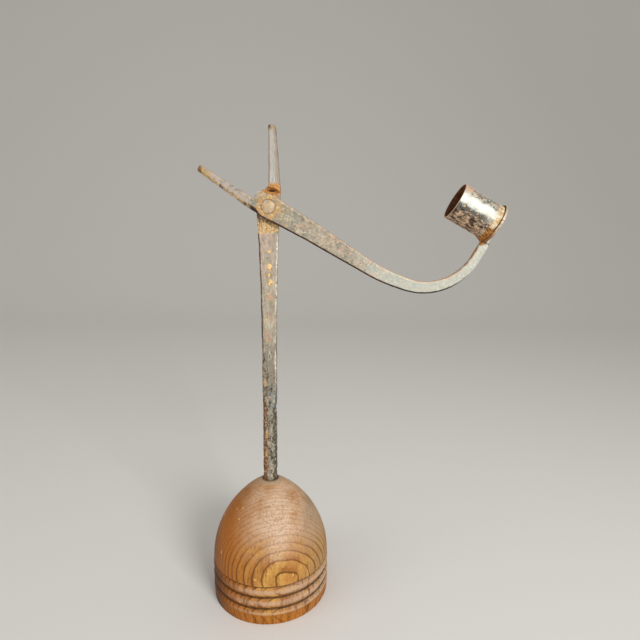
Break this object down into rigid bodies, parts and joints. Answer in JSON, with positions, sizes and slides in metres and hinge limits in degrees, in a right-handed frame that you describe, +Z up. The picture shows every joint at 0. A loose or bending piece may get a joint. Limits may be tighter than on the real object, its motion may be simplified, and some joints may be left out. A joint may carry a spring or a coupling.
{
  "type": "rushlight holder",
  "caption": "Wrought-iron rushlight holder: upright rod with pliers-like jaws in a turned wooden block, closed by a hooked swinging arm that carries a candle socket.",
  "frame": {"origin": "centre of the wooden block's underside, on the rod's axis", "axes": "+Z up the rod, +X towards the candle socket, -Y towards the viewer of the picture (the rivet's front head)"},
  "size_m": [0.1763, 0.0736, 0.2867],
  "materials": {
    "turned_wood": "old dark stain and wax, worn on the beads",
    "forged_iron": "forged, pitted and rusted",
    "rivet_iron": "hammered, with a ring of rust",
    "sheet_iron": "rubbed bright, with rust pits",
    "braze_metal": "dull, stained orange by rust"
  },
  "bodies": {
    "stand": {"base": "turned_wood", "stem": "forged_iron", "pivot_rivet": "rivet_iron"},
    "swing_arm": {"arm": "forged_iron", "socket_disc": "sheet_iron", "candle_socket": "sheet_iron", "socket_braze": "braze_metal"}
  },
  "joints": [
    {"name": "jaw_pivot", "type": "hinge", "parent": "stand", "child": "swing_arm", "pos_m": [0.0005, -0.0041, 0.242], "axis": [0, 1, 0], "range_deg": [-35, 59]}
  ]
}
